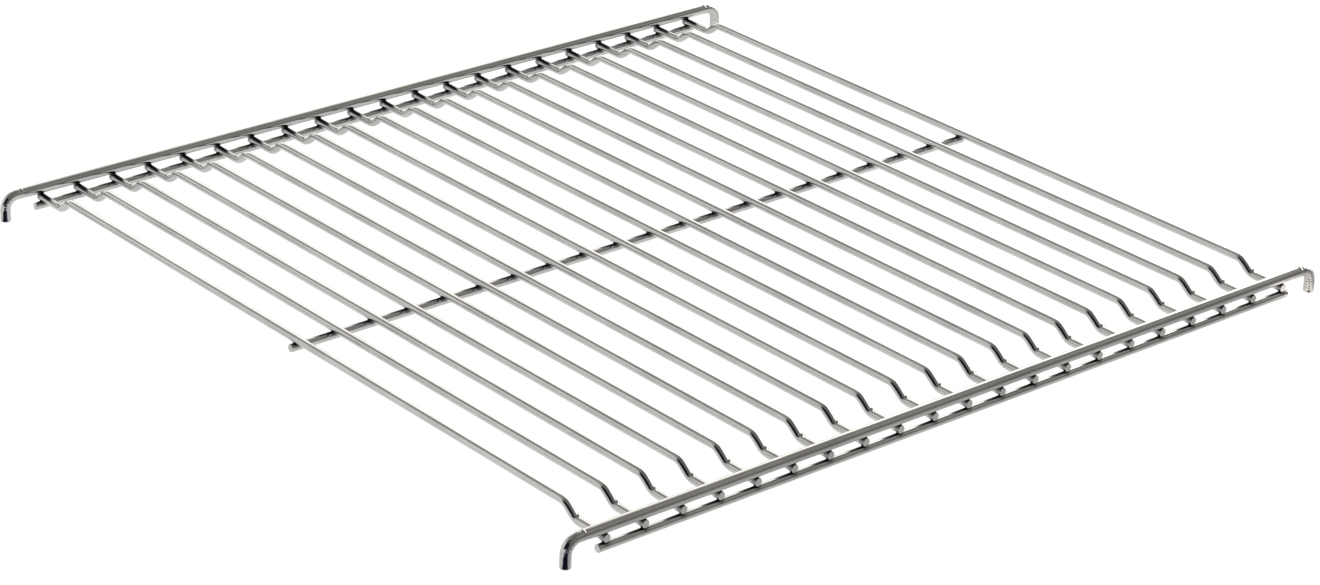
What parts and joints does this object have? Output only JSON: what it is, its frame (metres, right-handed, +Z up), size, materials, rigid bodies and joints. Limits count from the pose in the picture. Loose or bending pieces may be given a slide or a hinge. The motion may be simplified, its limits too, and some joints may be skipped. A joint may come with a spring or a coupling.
{
  "type": "wire shelf",
  "caption": "Chrome-plated welded wire shelf: stepped cross wires pass under heavy side rails whose ends turn down as feet, with lower edge rods and a centre tie rod.",
  "frame": {"origin": "middle of the shelf in plan, at the height of the feet's ends", "axes": "+X along the heavy rails, +Y along the cross wires towards the back rail, +Z up"},
  "size_m": [0.5652, 0.5434, 0.0186],
  "materials": {
    "wire_chrome": "bright chrome plate over drawn round wire, with faint drawing lines, dull heat marks at the welds and small forming marks at the bends",
    "rail_chrome": "chrome plate over drawn round bar, a little darker, with forming marks where the ends turn down"
  },
  "bodies": {
    "root": {"cross_wire_01": "wire_chrome", "cross_wire_02": "wire_chrome", "cross_wire_03": "wire_chrome", "cross_wire_04": "wire_chrome", "cross_wire_05": "wire_chrome", "cross_wire_06": "wire_chrome", "cross_wire_07": "wire_chrome", "cross_wire_08": "wire_chrome", "cross_wire_09": "wire_chrome", "cross_wire_10": "wire_chrome", "cross_wire_11": "wire_chrome", "cross_wire_12": "wire_chrome", "cross_wire_13": "wire_chrome", "cross_wire_14": "wire_chrome", "cross_wire_15": "wire_chrome", "cross_wire_16": "wire_chrome", "cross_wire_17": "wire_chrome", "cross_wire_18": "wire_chrome", "cross_wire_19": "wire_chrome", "cross_wire_20": "wire_chrome", "cross_wire_21": "wire_chrome", "front_lower_rod": "wire_chrome", "back_lower_rod": "wire_chrome", "centre_rod": "wire_chrome", "front_rail": "rail_chrome", "back_rail": "rail_chrome"}
  },
  "joints": []
}
